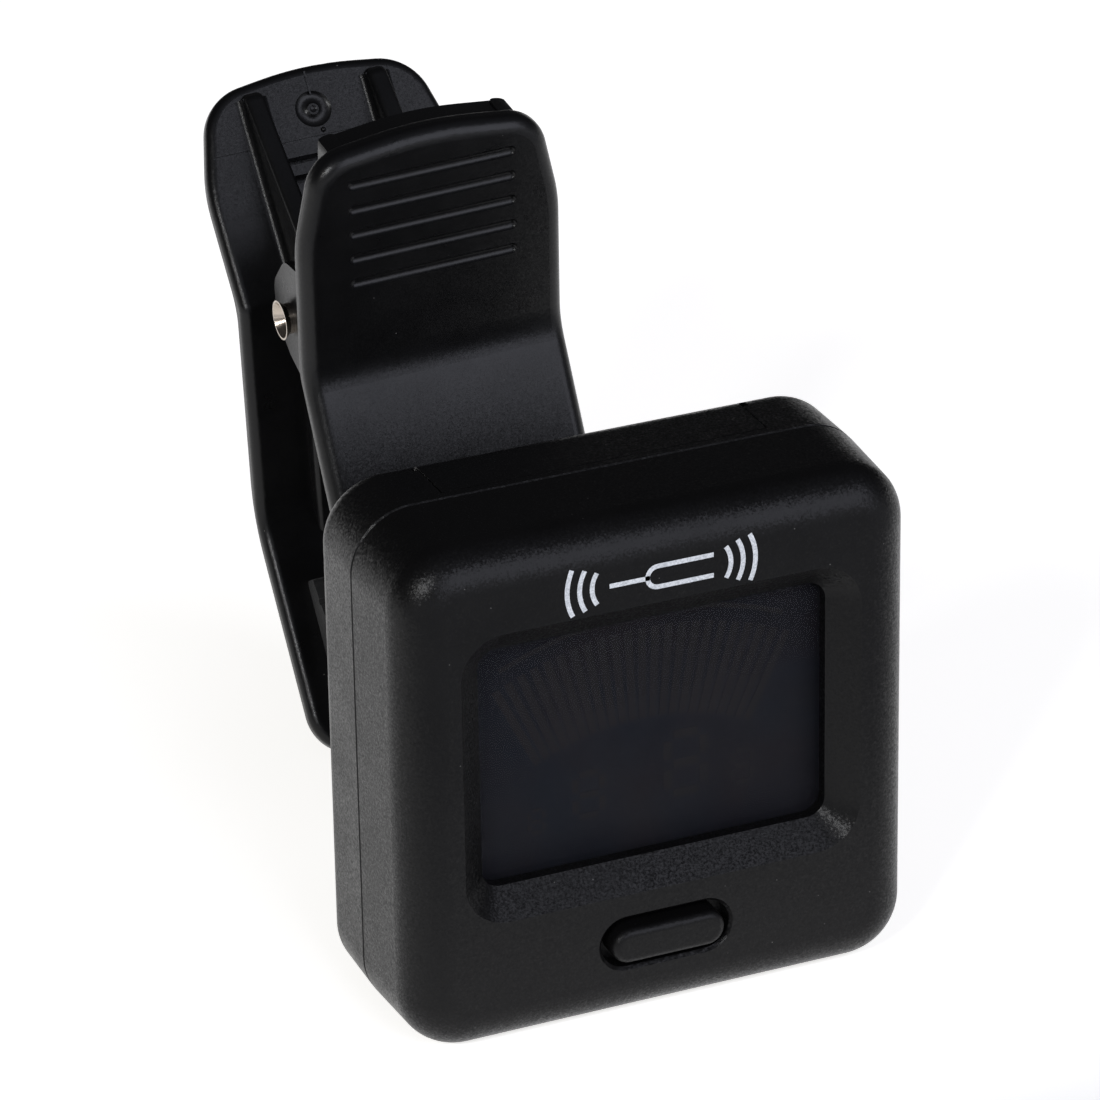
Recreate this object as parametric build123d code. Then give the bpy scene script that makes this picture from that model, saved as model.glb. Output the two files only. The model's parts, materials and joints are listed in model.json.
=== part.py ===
from build123d import *
import math
import os

# A clip-on tuner: a square head with a display and one button, carried on a spring clip by an arm
# that tilts at the head and swivels at the clip's front jaw.
#
# Head frame, millimetres: X to the right seen from the front, Y from the front face to the back,
# Z up, with the middle of the head's front face at the origin. Every shape is placed in it and
# moved at the end, so that the written parts have their origin where the two grip pads meet.

# ---------------------------------------------------------------- head, driving dimensions
HEAD_WIDTH = 42.0
HEAD_HEIGHT = 42.5
HEAD_DEPTH = 17.2
CORNER_RADIUS = 5.0
FRONT_INSET = 0.36  # how far the front cover draws in from the seam to the face
REAR_INSET = 0.1
FRONT_ROUND = 3.5
REAR_ROUND = 2.3
WALL = 1.5
PARTING_Y = 9.5
SEAM_CHAMFER = 0.15
FREE = 0.05  # radial running clearance of the pivots

# display recess: a sloped frame that narrows from the face down to a straight-walled window
WINDOW_WIDTH = 28.3
WINDOW_HEIGHT = 20.0
WINDOW_Z = 2.1
BEVEL_RUN = 2.1
BEVEL_DEPTH = 1.95
WINDOW_CORNER = 1.5
BEVEL_CORNER = 3.6
LENS_Y = 2.95
LENS_THICKNESS = 1.0
LCD_THICKNESS = 1.9
LIGHT_GUIDE_THICKNESS = 1.5
BOARD_Y = 8.1
BOARD_THICKNESS = 1.0

# button
SLOT_WIDTH = 10.6
SLOT_HEIGHT = 4.2
BUTTON_Z = -14.15
BUTTON_GAP = 0.65
BUTTON_PROUD = 0.8
BUTTON_ROUND = 0.6
SLOT_CHAMFER = 0.25
PLUNGER_Y = 4.1

# battery bay
DOOR_HALF = 13.2
DOOR_FRONT_Y = 10.5
DOOR_GAP = 0.12
TONGUE_HALF = 13.6
CELL_RADIUS = 10.0
CELL_THICKNESS = 3.2
CELL_Y = 11.5
CELL_Z = 9.55

# cover screws
BOSS_X = 16.5
BOSS_Z = 16.6
BOSS_RADIUS = 2.2
SCREW_RADIUS = 0.95
SCREW_HEAD_RADIUS = 1.75

# ---------------------------------------------------------------- clip, driving dimensions
JAW_WIDTH = 22.0
JAW_THICKNESS = 2.4
TIP_CORNER = 3.8
OUTER_ROUND = 1.25
INNER_ROUND = 0.8
LEVER_BEND = (42.0, 17.4)  # (y, z) of the front jaw's outer corner between lever and ramp
RAMP_BEND = (35.4, 2.7)
LEVER_ANGLE = -6.5  # from the vertical; positive leans back going up
LEVER_LENGTH = 19.8
LOWER_ANGLE = -7.0
LOWER_LENGTH = 20.2
REAR_TOP_BEND = (59.3, 16.4)
REAR_LOW_BEND = (59.8, -2.6)
REAR_HANDLE_ANGLE = 36.3
REAR_HANDLE_LENGTH = 17.9
REAR_TIP_ANGLE = 31.8
REAR_TIP_LENGTH = 21.2
HINGE = (50.7, 18.7)  # (y, z) of the clip's hinge
EAR_OUTER = 9.1
EAR_INNER = 7.75
REAR_EAR_OUTER = 6.2
REAR_EAR_INNER = 4.5
RIVET_RADIUS = 1.25
RIVET_BORE = 0.95
FLANGE_RADIUS = 1.62
FLANGE_DEPTH = 0.8
FLANGE_X = 9.95
SPRING_RADIUS = 2.5
SPRING_WIRE = 1.1
SPRING_TURNS = 7
RIB_INNER = 6.5
TOP_WALL = 4.2  # depth of the front lever's top, from its face
TOP_STEP = 0.35
RIB_STEP = 0.2
GROOVE_COUNT = 5
GROOVE_PITCH = 2.2
GROOVE_LENGTH = 14.2
GROOVE_RADIUS = 0.5
GROOVE_DEPTH = 0.32
GROOVE_FIRST = 7.7  # distance of the lowest groove from the lever bend
RIB_ROUND = 0.5
RIB_CORNER = 1.1
RIB_DROP = 0.5
FOOT_RADIUS = 0.6
RING_X = -0.5  # the moulded ring stands a little off the middle of the handle
PAD_HALF = 8.3
FRONT_PAD_LOW = -18.9  # along the lower jaw from its bend to the pad's lower end
FRONT_PAD_LENGTH = 9.3
REAR_PAD_LOW = -18.5
REAR_PAD_LENGTH = 11.9

# ---------------------------------------------------------------- arm, driving dimensions
PIVOT_FROM_BEND = 5.6  # along the lower jaw, from the ramp bend to the swivel axis
ARM_LENGTH = 12.4
SWIVEL_TURN = -2.6  # how far the clip is turned on the arm as the part stands
KNUCKLE_RADIUS = 3.3
KNUCKLE_HALF = 2.95
LUG_INNER = 3.05
LUG_OUTER = 5.5
TILT_SCREW_RADIUS = 1.25
HUB_RADIUS = 5.6
HUB_THICKNESS = 3.2
STEM_RADIUS = 2.5


def direction(angle):
    """Unit (y, z) pointing up a line that leans back by an angle in degrees."""
    return math.sin(math.radians(angle)), math.cos(math.radians(angle))


def along(start, angle, distance):
    """The (y, z) point at a distance up a leaning line."""
    y, z = direction(angle)
    return start[0] + y * distance, start[1] + z * distance


def lean(a, b):
    """The lean, in degrees, of the line from a lower point to a higher one."""
    return math.degrees(math.atan2(b[0] - a[0], b[1] - a[1]))


# Outer lines of the two jaws from tip to top. Each end is left long and trimmed to its rounded outline.
SPARE = 1.0
FRONT_FACE = [
    along(RAMP_BEND, LOWER_ANGLE, -LOWER_LENGTH - SPARE),
    RAMP_BEND,
    LEVER_BEND,
    along(LEVER_BEND, LEVER_ANGLE, LEVER_LENGTH + SPARE),
]
REAR_FACE = [
    along(REAR_LOW_BEND, REAR_TIP_ANGLE, -REAR_TIP_LENGTH - SPARE),
    REAR_LOW_BEND,
    REAR_TOP_BEND,
    along(REAR_TOP_BEND, REAR_HANDLE_ANGLE, REAR_HANDLE_LENGTH + SPARE),
]
SWIVEL_POINT = along(RAMP_BEND, LOWER_ANGLE, -PIVOT_FROM_BEND)
ARM_AXIS = (math.cos(math.radians(LOWER_ANGLE)), -math.sin(math.radians(LOWER_ANGLE)))
TILT_POINT = (SWIVEL_POINT[0] - ARM_LENGTH * ARM_AXIS[0], SWIVEL_POINT[1] - ARM_LENGTH * ARM_AXIS[1])


# ---------------------------------------------------------------- helpers
def slab(width, height, corner, front, back, middle_z=0.0):
    """A plate with rounded corners between two depths."""
    outline = Pos(0, middle_z) * RectangleRounded(width, height, corner)
    return extrude(Plane.XZ.offset(-back) * outline, amount=back - front)


def rod(radius, front, back, x=0.0, z=0.0):
    """A round rod along Y."""
    return extrude(Plane.XZ.offset(-back) * Pos(x, z) * Circle(radius), amount=back - front)


def cross_rod(radius, left, right, y, z):
    """A round rod along X."""
    return extrude(Plane.YZ.offset(left) * Pos(y, z) * Circle(radius), amount=right - left)


def block(left, right, front, back, bottom, top):
    """A box from its six limits."""
    middle = ((left + right) / 2, (front + back) / 2, (bottom + top) / 2)
    return Pos(*middle) * Box(right - left, back - front, top - bottom)


def side_plate(points, left, right, radii=0.0):
    """A plate with a (y, z) outline, between two widths."""
    outline = make_face(FilletPolyline(*points, radius=radii, close=True))
    return extrude(Plane.YZ.offset(left) * outline, amount=right - left)


def both_sides(shape):
    """The shape and its mirror image left to right."""
    return shape + mirror(shape, about=Plane.YZ)


def edges_at_y(shape, y):
    return shape.edges().filter_by_position(Axis.Y, y - 0.01, y + 0.01)


def group(shapes):
    """Separate solids of one node."""
    return Compound(children=list(shapes))


# ---------------------------------------------------------------- the head's shell
def head_outline(y, inset):
    """The head's rounded square at a depth, drawn in all round by an inset."""
    corner = CORNER_RADIUS - inset / 2
    return Plane.XZ.offset(-y) * RectangleRounded(HEAD_WIDTH - 2 * inset, HEAD_HEIGHT - 2 * inset, corner)


def head_outer():
    """The head's solid shape: widest at the seam, drawn in a little towards the face and the back."""
    seam = head_outline(PARTING_Y, 0)
    front = loft([head_outline(0, FRONT_INSET), seam])
    rear = loft([seam, head_outline(HEAD_DEPTH, REAR_INSET)])
    front = fillet(edges_at_y(front, 0), FRONT_ROUND)
    return front + fillet(edges_at_y(rear, HEAD_DEPTH), REAR_ROUND)


def head_cavity():
    width = HEAD_WIDTH - 2 * WALL
    height = HEAD_HEIGHT - 2 * WALL
    inner = slab(width, height, CORNER_RADIUS - WALL, WALL, HEAD_DEPTH - WALL)
    inner = fillet(edges_at_y(inner, WALL), FRONT_ROUND - WALL)
    return fillet(edges_at_y(inner, HEAD_DEPTH - WALL), REAR_ROUND - WALL)


def seam_bevel(way):
    """The cutter for a fine bevel round the seam, on its front side (way -1) or its back side (way 1)."""
    depth = 0.5
    seam = head_outline(PARTING_Y, SEAM_CHAMFER)
    far_end = head_outline(PARTING_Y + way * depth, SEAM_CHAMFER - depth)
    ends = [seam, far_end]
    keep = loft(sorted(ends, key=lambda outline: outline.center().Y))
    front, back = sorted((PARTING_Y, PARTING_Y + way * depth))
    return block(-HEAD_WIDTH, HEAD_WIDTH, front, back, -HEAD_WIDTH, HEAD_WIDTH) - keep


def half_shell(front, back, way):
    """The part of the hollow shell between two depths, with a fine bevel round its seam."""
    solid = head_outer() & block(-HEAD_WIDTH, HEAD_WIDTH, front, back, -HEAD_WIDTH, HEAD_WIDTH)
    return solid - seam_bevel(way) - head_cavity()


def boss_places():
    return [(x, z) for x in (-BOSS_X, BOSS_X) for z in (-BOSS_Z, BOSS_Z)]


def recess_cutter():
    """The sloped display recess and the window through it."""
    face = Plane.XZ * Pos(0, WINDOW_Z) * RectangleRounded(
        WINDOW_WIDTH + 2 * BEVEL_RUN, WINDOW_HEIGHT + 2 * BEVEL_RUN, BEVEL_CORNER
    )
    floor = Plane.XZ.offset(-BEVEL_DEPTH) * Pos(0, WINDOW_Z) * RectangleRounded(
        WINDOW_WIDTH, WINDOW_HEIGHT, WINDOW_CORNER
    )
    window = slab(WINDOW_WIDTH, WINDOW_HEIGHT, WINDOW_CORNER, BEVEL_DEPTH - 0.01, LENS_Y + 0.01, WINDOW_Z)
    return loft([face, floor]) + window


def slot_mouth():
    """The cutter for the fine chamfer round the button slot's mouth."""
    outlines = []
    for y, wider in ((0, SLOT_CHAMFER), (SLOT_CHAMFER, 0)):
        width = SLOT_WIDTH + 2 * wider
        height = SLOT_HEIGHT + 2 * wider
        mouth = RectangleRounded(width, height, height / 2 - 0.01)
        outlines.append(Plane.XZ.offset(-y) * Pos(0, BUTTON_Z) * mouth)
    return loft(outlines)


def front_cover():
    shell = half_shell(-1, PARTING_Y, -1)
    frame_width = WINDOW_WIDTH + 7.4
    frame_height = WINDOW_HEIGHT + 7.4
    lens_back = LENS_Y + LENS_THICKNESS
    shell += slab(frame_width, frame_height, 3, WALL - 0.1, lens_back + 0.2, WINDOW_Z)
    for x, z in boss_places():
        shell += rod(BOSS_RADIUS, WALL - 0.1, PARTING_Y, x, z)
    shell -= recess_cutter()
    shell -= slab(WINDOW_WIDTH + 2.6, WINDOW_HEIGHT + 2.6, 1.2, LENS_Y, lens_back + 1, WINDOW_Z)
    shell -= slab(SLOT_WIDTH, SLOT_HEIGHT, SLOT_HEIGHT / 2 - 0.01, -1, 4, BUTTON_Z)
    shell -= slot_mouth()
    for x, z in boss_places():
        shell -= rod(SCREW_RADIUS + FREE, 4.0, PARTING_Y + 1, x, z)
    return shell & head_outer()


def door_region(gap):
    """The block that the battery door fills, or its opening with the gap round it."""
    limit = DOOR_HALF + gap
    return block(-limit, limit, DOOR_FRONT_Y - gap, HEAD_DEPTH + 5, -gap, HEAD_HEIGHT)


def lug(left, right):
    """One ear of the tilt hinge, standing on the head's back."""
    y, z = TILT_POINT
    back = HEAD_DEPTH - 0.5
    reach = KNUCKLE_RADIUS
    web = side_plate([(back, z - reach - 1), (y, z - reach), (y, z + reach), (back, z + reach)], left, right)
    return web + cross_rod(reach, left, right, y, z)


def rear_cover():
    inner_back = HEAD_DEPTH - WALL
    shell = half_shell(PARTING_Y, HEAD_DEPTH + 1, 1)
    for x, z in boss_places():
        shell += rod(BOSS_RADIUS, PARTING_Y, inner_back + 0.1, x, z)
    tray_back = CELL_Y - 0.1
    shell += both_sides(block(14.3, 15.3, tray_back, inner_back + 0.1, 0, 12))
    for x, z in boss_places():
        shell -= rod(SCREW_RADIUS + 0.1, PARTING_Y - 1, HEAD_DEPTH + 1, x, z)
        shell -= rod(SCREW_HEAD_RADIUS + 0.15, HEAD_DEPTH - 2.6, HEAD_DEPTH + 1, x, z)
    shell -= door_region(DOOR_GAP)
    rail = TONGUE_HALF + 0.15
    shell -= block(-rail, rail, inner_back - 0.9, inner_back + 0.001, 1, HEAD_HEIGHT)
    shell += both_sides(lug(LUG_INNER, LUG_OUTER))
    y, z = TILT_POINT
    shell -= cross_rod(TILT_SCREW_RADIUS + FREE, -LUG_OUTER - 1, LUG_OUTER + 1, y, z)
    return shell


def battery_door():
    inner_back = HEAD_DEPTH - WALL
    door = (head_outer() & door_region(0)) - head_cavity()
    tongue = block(-TONGUE_HALF, TONGUE_HALF, inner_back - 0.7, inner_back - 0.08, 1.2, 18.5)
    web = block(-DOOR_HALF, DOOR_HALF, inner_back - 0.7, inner_back + 0.2, 1.2, 18.5)
    grip_y = HEAD_DEPTH
    grips = [
        slab(9.0 - abs(i), 0.7, 0.3, grip_y - 0.35, grip_y + 1, 14.0 + 1.4 * i) for i in (-1, 0, 1)
    ]
    for cut in grips:
        door -= cut
    return door + tongue + web


# ---------------------------------------------------------------- display, board, switch
def display_lens():
    lens = slab(WINDOW_WIDTH + 2.4, WINDOW_HEIGHT + 2.4, 1.1, LENS_Y, LENS_Y + LENS_THICKNESS, WINDOW_Z)
    return lens


def lcd_panel():
    front = LENS_Y + LENS_THICKNESS + 0.1
    return slab(WINDOW_WIDTH + 1.4, WINDOW_HEIGHT + 1.4, 0.3, front, front + LCD_THICKNESS, WINDOW_Z)


LIGHT_GUIDE_Y = LENS_Y + LENS_THICKNESS + 0.1 + LCD_THICKNESS + 0.05


def light_guide():
    return slab(26.0, 17.0, 0.5, LIGHT_GUIDE_Y, LIGHT_GUIDE_Y + LIGHT_GUIDE_THICKNESS, WINDOW_Z + 1)


def backlight_leds():
    top = WINDOW_Z + 1 + 8.6
    back = LIGHT_GUIDE_Y + LIGHT_GUIDE_THICKNESS
    return group(block(x - 1, x + 1, back - 1.2, back, top, top + 0.9) for x in (-6, 6))


def zebra_strip():
    return block(-12.5, 12.5, LIGHT_GUIDE_Y, BOARD_Y, WINDOW_Z - 10.2, WINDOW_Z - 8.4)


def circuit_board():
    half_width = HEAD_WIDTH / 2 - WALL - 0.4
    half_height = HEAD_HEIGHT / 2 - WALL - 0.4
    board = slab(2 * half_width, 2 * half_height, 1, BOARD_Y, BOARD_Y + BOARD_THICKNESS)
    reach = HEAD_WIDTH
    for side_x in (-1, 1):
        for side_z in (-1, 1):
            corner_x = sorted((side_x * (BOSS_X - BOSS_RADIUS - 0.3), side_x * reach))
            corner_z = sorted((side_z * (BOSS_Z - BOSS_RADIUS - 0.3), side_z * reach))
            board -= block(*corner_x, 0, HEAD_DEPTH, *corner_z)
    return board


def on_board_back(left, right, depth, bottom, top):
    """A low component on the board's rear side."""
    back = BOARD_Y + BOARD_THICKNESS
    return block(left, right, back, back + depth, bottom, top)


def main_chip():
    return on_board_back(-4.5, 3.5, 0.9, -12.5, -4.5)


def crystal():
    back = BOARD_Y + BOARD_THICKNESS
    return extrude(Plane.XY.offset(-14) * Pos(8, back + 1) * Circle(0.95), amount=6)


def smd_parts():
    places = [(-10, -6), (-10, -9), (-10, -12), (-7, -14), (6, -4.5), (11, -5), (11, -8), (11, -11)]
    return group(on_board_back(x - 0.8, x + 0.8, 0.6, z - 0.4, z + 0.4) for x, z in places)


def tact_switch():
    front = PLUNGER_Y + 0.7
    body = block(-3, 3, front, BOARD_Y, BUTTON_Z - 2.4, BUTTON_Z + 2.4)
    return body - rod(1.3, front - 1, front + 1.2, 0, BUTTON_Z)


def switch_plunger():
    return rod(1.2, PLUNGER_Y, PLUNGER_Y + 1.2, 0, BUTTON_Z)


def power_button():
    width = SLOT_WIDTH - 2 * BUTTON_GAP
    height = SLOT_HEIGHT - 2 * BUTTON_GAP
    back = WALL + 0.15
    cap = slab(width, height, height / 2 - 0.01, -BUTTON_PROUD, back + 1, BUTTON_Z)
    cap = fillet(edges_at_y(cap, -BUTTON_PROUD), BUTTON_ROUND)
    flange = slab(SLOT_WIDTH + 2, SLOT_HEIGHT + 0.6, 0.5, back, back + 1, BUTTON_Z)
    stem = rod(1.1, back, PLUNGER_Y, 0, BUTTON_Z)
    return cap + flange + stem


# ---------------------------------------------------------------- battery and pickup
CONTACT_SPAN = 35  # half angle of the positive contact round the cell's edge
CONTACT_INNER = CELL_RADIUS + 0.05
CONTACT_OUTER = CELL_RADIUS + 0.35


def ring_sector(inner, outer, front, back, span):
    """A stretch of ring round the cell, to the right of it."""
    ring = rod(outer, front, back, 0, CELL_Z) - rod(inner, front - 1, back + 1, 0, CELL_Z)
    reach = 2 * outer
    rise = reach * math.tan(math.radians(span))
    wedge = Polyline((0, CELL_Z), (reach, CELL_Z - rise), (reach, CELL_Z + rise), close=True)
    return ring & extrude(Plane.XZ.offset(-back) * make_face(wedge), amount=back - front)


def battery_tray():
    top = HEAD_HEIGHT / 2 - WALL - 0.15
    front = BOARD_Y + BOARD_THICKNESS + 1.2
    floor = CELL_Y - 0.1
    plate = block(-14.2, 14.2, front, floor, -1.5, top)
    rim = rod(CELL_RADIUS + 1.2, front, CELL_Y + CELL_THICKNESS - 0.3, 0, CELL_Z)
    rim &= block(-14.2, 14.2, 0, HEAD_DEPTH, -1.5, top)
    tray = plate + rim
    tray -= rod(CELL_RADIUS + 0.45, floor, HEAD_DEPTH, 0, CELL_Z)
    tray -= block(-2.2, 2.2, 0, HEAD_DEPTH, CELL_Z - 5, CELL_Z + 5)
    tray -= ring_sector(CONTACT_INNER - 0.15, CONTACT_OUTER + 0.1, front - 1, floor + 1, CONTACT_SPAN + 2)
    return tray


def coin_cell():
    can = rod(CELL_RADIUS, CELL_Y + 0.5, CELL_Y + CELL_THICKNESS, 0, CELL_Z)
    can = fillet(edges_at_y(can, CELL_Y + CELL_THICKNESS), 0.4)
    return can + rod(CELL_RADIUS - 1.1, CELL_Y, CELL_Y + 0.6, 0, CELL_Z)


def positive_contact():
    front = BOARD_Y + BOARD_THICKNESS
    return ring_sector(CONTACT_INNER, CONTACT_OUTER, front, CELL_Y + CELL_THICKNESS - 0.5, CONTACT_SPAN)


def negative_contact():
    """A bent leaf from the board up to the middle of the cell's face."""
    board = BOARD_Y + BOARD_THICKNESS
    leaf = 0.25
    low = CELL_Z - 4.5
    points = [
        (board, low),
        (board, low + 2.0),
        (CELL_Y - leaf, low + 6.0),
        (CELL_Y - leaf, low + 8.0),
        (CELL_Y, low + 8.0),
        (CELL_Y, low + 5.9),
        (board + leaf, low + 1.9),
        (board + leaf, low),
    ]
    return side_plate(points, -1.5, 1.5)


PIEZO_Z = -11.5


def piezo_plate():
    back = HEAD_DEPTH - WALL
    return rod(5.5, back - 0.25, back, 0, PIEZO_Z)


def piezo_ceramic():
    back = HEAD_DEPTH - WALL - 0.25
    return rod(4.0, back - 0.25, back, 0, PIEZO_Z)


def cover_screws():
    seat = HEAD_DEPTH - 2.6
    screws = []
    for x, z in boss_places():
        head = rod(SCREW_HEAD_RADIUS, seat, seat + 1.3, x, z)
        slot = block(x - 1.2, x + 1.2, seat + 0.7, seat + 2, z - 0.2, z + 0.2)
        cross = block(x - 0.2, x + 0.2, seat + 0.7, seat + 2, z - 1.2, z + 1.2)
        screws.append(head + rod(SCREW_RADIUS, 4.3, seat, x, z) - slot - cross)
    return group(screws)


# ---------------------------------------------------------------- tilt hinge and swivel arm
def tilt_screw():
    y, z = TILT_POINT
    shank = cross_rod(TILT_SCREW_RADIUS, -LUG_OUTER - 1.7, LUG_OUTER, y, z)
    head = cross_rod(2.2, LUG_OUTER, LUG_OUTER + 1.2, y, z)
    head = fillet(head.edges().filter_by_position(Axis.X, LUG_OUTER + 1.19, LUG_OUTER + 1.21), 0.4)
    slot = block(LUG_OUTER + 0.6, LUG_OUTER + 2, y - 0.25, y + 0.25, z - 3, z + 3)
    return shank + head - slot


def tilt_nut():
    y, z = TILT_POINT
    nut = Plane.YZ.offset(-LUG_OUTER - 1.5) * Pos(y, z) * RegularPolygon(2.3, 6)
    return extrude(nut, amount=1.5) - cross_rod(TILT_SCREW_RADIUS + 0.01, -LUG_OUTER - 3, 0, y, z)


def arm_place():
    """Where the arm's own frame stands: origin on the tilt axis, Y towards the jaw."""
    return Location((0, TILT_POINT[0], TILT_POINT[1]), (-LOWER_ANGLE, 0, 0))


STEM_END = ARM_LENGTH + JAW_THICKNESS + 0.1
WASHER_THICKNESS = 0.5


def swivel_arm():
    knuckle = cross_rod(KNUCKLE_RADIUS, -KNUCKLE_HALF, KNUCKLE_HALF, 0, 0)
    hub_front = ARM_LENGTH - HUB_THICKNESS
    neck = block(-KNUCKLE_HALF, KNUCKLE_HALF, 0, hub_front + 0.5, -2.4, 2.4)
    hub = rod(HUB_RADIUS, hub_front, ARM_LENGTH - 0.06)
    hub = fillet(edges_at_y(hub, hub_front), 1.0)
    arm = knuckle + neck + hub + rod(STEM_RADIUS, ARM_LENGTH - 1, STEM_END)
    arm -= cross_rod(TILT_SCREW_RADIUS + FREE, -KNUCKLE_HALF - 1, KNUCKLE_HALF + 1, 0, 0)
    arm -= rod(0.9, hub_front + 1, STEM_END + 1)
    return arm_place() * arm


def swivel_washer():
    washer = rod(3.7, STEM_END, STEM_END + WASHER_THICKNESS)
    return arm_place() * (washer - rod(1.0, STEM_END - 1, STEM_END + 2))


def swivel_screw():
    seat = STEM_END + WASHER_THICKNESS
    head = rod(2.1, seat, seat + 1.2)
    head = fillet(edges_at_y(head, seat + 1.2), 0.4)
    slot = block(-1.4, 1.4, seat + 0.6, seat + 2, -0.2, 0.2)
    cross = block(-0.2, 0.2, seat + 0.6, seat + 2, -1.4, 1.4)
    return arm_place() * (head + rod(0.85, ARM_LENGTH - 1.5, seat) - slot - cross)


# ---------------------------------------------------------------- the clip
def inner_line(points, thickness, side):
    """Corner points of the line parallel to an outer one, at a thickness towards +Y (side 1) or -Y."""
    leans = [lean(a, b) for a, b in zip(points, points[1:])]
    found = []
    for i, (y, z) in enumerate(points):
        before = math.radians(leans[max(i - 1, 0)])
        after = math.radians(leans[min(i, len(leans) - 1)])
        middle = (before + after) / 2
        reach = side * thickness / math.cos((after - before) / 2)
        found.append((y + reach * math.cos(middle), z - reach * math.sin(middle)))
    return found


def bent_plate(outer, side, outer_radii, inner_radii):
    """A jaw's bent plate, from its outer line. The radii are those of its low and top bends."""
    inner = inner_line(outer, JAW_THICKNESS, side)
    radii = [0, *outer_radii, 0, 0, *reversed(inner_radii), 0]
    return side_plate([*outer, *reversed(inner)], -JAW_WIDTH / 2, JAW_WIDTH / 2, radii)


def lever_outline(length, narrowing, corner):
    """A lever's rounded top, narrowing towards its corners: X across, Y up the lever."""
    half = JAW_WIDTH / 2
    right = [(half, length - 8.5), (half - narrowing, length - 0.95)]
    left = [(-x, y) for x, y in reversed(right)]
    points = [(half, -1), *right, (0, length + 0.3), *left, (-half, -1)]
    return make_face(FilletPolyline(*points, radius=[0, 14, corner, 30, corner, 14, 0], close=True))


def front_outline():
    return lever_outline(LEVER_LENGTH, 1.55, 3.6)


def rear_outline():
    return lever_outline(REAR_HANDLE_LENGTH, 2.0, 4.5)


def tip_outline(length):
    """A jaw's rounded lower end: X across, Y down the jaw."""
    return Pos(0, length / 2 - 3) * RectangleRounded(JAW_WIDTH, length + 6, TIP_CORNER)


def lever_plane(start, angle):
    """The plane of a lever's outer face: X across, Y up the lever, normal towards -Y."""
    y, z = direction(angle)
    return Plane(origin=(0, *start), x_dir=(1, 0, 0), z_dir=(0, -z, y))


def tip_plane(start, angle):
    """The plane of a lower jaw's outer face: X across, Y down the jaw, normal towards +Y."""
    y, z = direction(angle)
    return Plane(origin=(0, *start), x_dir=(1, 0, 0), z_dir=(0, z, -y))


def trimmed(plate, plane, outline, length):
    """Trim the end of a plate to an outline."""
    untouched = 7.0
    zone = plane * Pos(0, length) * Rectangle(JAW_WIDTH + 4, 2 * (length - untouched))
    reach = 8.0
    cutter = extrude(zone, amount=reach, both=True) - extrude(plane * outline, amount=reach, both=True)
    return plate - cutter


def border_edges(plate):
    """The edges round a bent plate, without the lines across its bends and through its thickness."""
    edges = []
    for edge in plate.edges():
        straight = edge.geom_type == GeomType.LINE
        across = straight and abs((edge % 0.5).X) > 0.99 and edge.length > JAW_WIDTH - 0.5
        through = straight and edge.length < JAW_THICKNESS + 0.2 and abs((edge % 0.5).X) < 0.01
        if not across and not through:
            edges.append(edge)
    return edges


def edges_near(edges, line, reach):
    """The edges whose middle lies within a reach of a (y, z) line."""
    wire = Plane.YZ * Polyline(*line)
    middles = [(edge, edge @ 0.5) for edge in edges]
    return [edge for edge, at in middles if wire.distance_to(Vertex(0, at.Y, at.Z)) < reach]


def jaw_plate(face, side, angles, lengths, top_outline, outer_radii, inner_radii):
    """One jaw's bent plate with its rounded lever and tip."""
    low_angle, top_angle = angles
    low_length, top_length = lengths
    plate = bent_plate(face, side, outer_radii, inner_radii)
    plate = trimmed(plate, lever_plane(face[2], top_angle), top_outline, top_length)
    plate = trimmed(plate, tip_plane(face[1], low_angle), tip_outline(low_length), low_length)
    plate = fillet(edges_near(border_edges(plate), face, JAW_THICKNESS / 2), OUTER_ROUND)
    inner = inner_line(face, JAW_THICKNESS, side)
    return fillet(edges_near(border_edges(plate), inner, INNER_ROUND), INNER_ROUND)


def inward(start, angle, distance, depth, side):
    """The (y, z) point at a distance up a line and a depth in from it."""
    y, z = along(start, angle, distance)
    run, rise = direction(angle)
    return y + side * depth * rise, z - side * depth * run


def front_inward(distance, depth):
    return inward(LEVER_BEND, LEVER_ANGLE, distance, depth, 1)


def rear_inward(distance, depth):
    return inward(REAR_TOP_BEND, REAR_HANDLE_ANGLE, distance, depth, -1)


def hinge_rod(radius, left, right):
    return cross_rod(radius, left, right, *HINGE)


def front_rib():
    """The low rib that stiffens the front lever behind its face."""
    top = LEVER_LENGTH
    points = [
        front_inward(top, 1.4),
        front_inward(top, TOP_WALL),
        front_inward(6, 5.2),
        front_inward(-1, 5.2),
        front_inward(-3, 1.4),
    ]
    outer = EAR_INNER + 0.2
    rib = side_plate(points, RIB_INNER, outer, [0, 0.8, 2, 1, 0])
    rims = [edge for edge in rib.edges() if abs((edge % 0.5).X) < 0.01]
    rib = fillet(rims, RIB_ROUND)
    limit = offset(front_outline(), -RIB_STEP)
    limit &= RectangleRounded(2 * outer, 2 * (LEVER_LENGTH - RIB_DROP), RIB_CORNER)
    return rib & extrude(lever_plane(LEVER_BEND, LEVER_ANGLE) * limit, amount=JAW_WIDTH, both=True)


def top_wall():
    """The wall that closes the front lever's top between its ribs, a little inside the lever's outline."""
    height = 2.2
    outline = offset(front_outline(), -TOP_STEP)
    outline &= Pos(0, LEVER_LENGTH) * Rectangle(2 * RIB_INNER + 1, 2 * height)
    wall = extrude(lever_plane(LEVER_BEND, LEVER_ANGLE) * outline, amount=-TOP_WALL)
    return wall - extrude(lever_plane(LEVER_BEND, LEVER_ANGLE) * outline, amount=-INNER_ROUND)


def front_ear():
    """The front jaw's hinge plate."""
    points = [(43.0, 24.0), (51.0, 23.6), (53.9, 20.7), (53.8, 17.3), (51.2, 15.2), (41.2, 10.9)]
    return side_plate(points, EAR_INNER, EAR_OUTER, [0, 2.5, 2.2, 2.2, 2.2, 0])


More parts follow.
